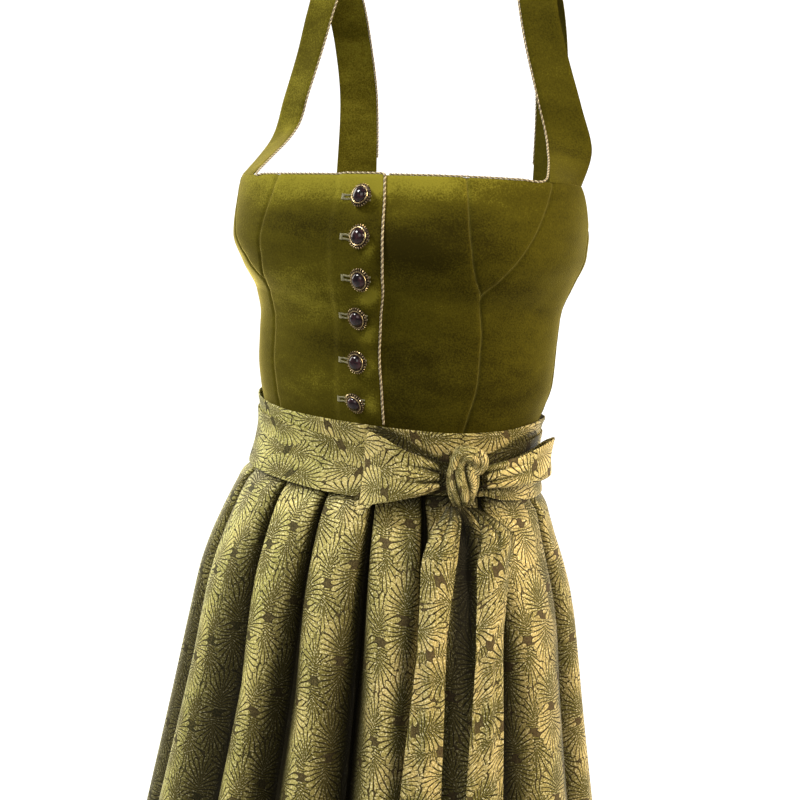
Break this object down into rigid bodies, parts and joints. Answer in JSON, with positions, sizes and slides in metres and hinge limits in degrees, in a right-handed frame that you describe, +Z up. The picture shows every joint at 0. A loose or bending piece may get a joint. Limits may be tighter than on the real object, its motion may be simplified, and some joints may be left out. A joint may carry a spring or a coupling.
{
  "type": "dirndl dress with a tied apron, worn",
  "caption": "Olive velvet dirndl dress, worn and hollow: shoulder straps, six old-gold buttons, plain olive skirt, and a pleated leaf-jacquard apron tied in a bow at the wearer's left front.",
  "frame": {"origin": "midway between the tops of the two shoulder straps, where the wearer's shoulders hold the dress", "axes": "+Z up, -Y towards the dress's front, +X towards the wearer's left"},
  "size_m": [0.5189, 0.4953, 1.0602],
  "materials": {
    "velvet": "matte",
    "leaf_jacquard": "satin",
    "skirt_cloth": "matte",
    "gold_cord": "satin",
    "old_gold": "satin",
    "dark_stone": "gloss"
  },
  "bodies": {
    "root": {"front_right": "velvet", "front_left": "velvet", "cup_right": "velvet", "cup_left": "velvet", "side_front_right": "velvet", "side_front_left": "velvet", "side_back_right": "velvet", "side_back_left": "velvet", "back_centre": "velvet", "strap_right": "velvet", "strap_left": "velvet", "apron_waistband": "leaf_jacquard", "apron_panel": "leaf_jacquard", "apron_tie_right": "leaf_jacquard", "apron_tie_left": "leaf_jacquard", "bow_knot": "leaf_jacquard", "bow_loop_right": "leaf_jacquard", "bow_loop_left": "leaf_jacquard", "bow_tail_right": "leaf_jacquard", "bow_tail_left": "leaf_jacquard", "skirt_front": "skirt_cloth", "skirt_back": "skirt_cloth", "piping_right": "gold_cord", "piping_left": "gold_cord", "piping_back": "gold_cord", "button_rim_1": "old_gold", "button_rim_2": "old_gold", "button_rim_3": "old_gold", "button_rim_4": "old_gold", "button_rim_5": "old_gold", "button_rim_6": "old_gold", "button_stone_1": "dark_stone", "button_stone_2": "dark_stone", "button_stone_3": "dark_stone", "button_stone_4": "dark_stone", "button_stone_5": "dark_stone", "button_stone_6": "dark_stone"}
  },
  "joints": []
}
